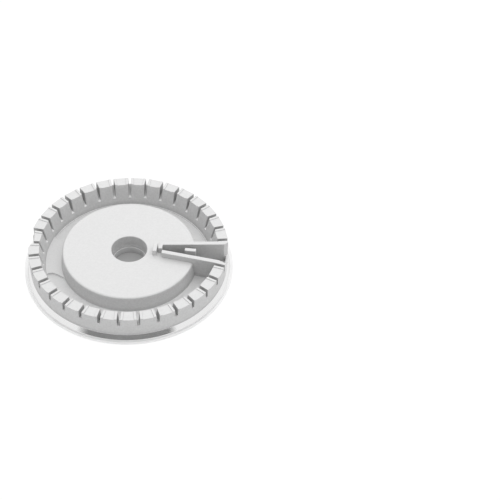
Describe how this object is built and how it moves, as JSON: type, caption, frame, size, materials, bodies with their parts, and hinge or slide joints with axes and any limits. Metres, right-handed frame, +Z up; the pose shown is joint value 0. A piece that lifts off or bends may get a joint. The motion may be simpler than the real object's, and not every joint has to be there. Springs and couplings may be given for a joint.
{
  "type": "gas burner crown",
  "caption": "Round cast aluminium gas burner crown with a toothed flame ring, a gas channel, a central mixing bore and an ignition trough.",
  "frame": {"origin": "centre of the mixing bore, on the flange's underside that the crown rests on", "axes": "+Z up along the mixing bore; +X out along the ignition trough"},
  "size_m": [0.0962, 0.0962, 0.0137],
  "materials": {
    "cast_aluminium": "blasted die casting, bright where the lathe has cut"
  },
  "bodies": {
    "root": {"burner_crown": "cast_aluminium"}
  },
  "joints": []
}
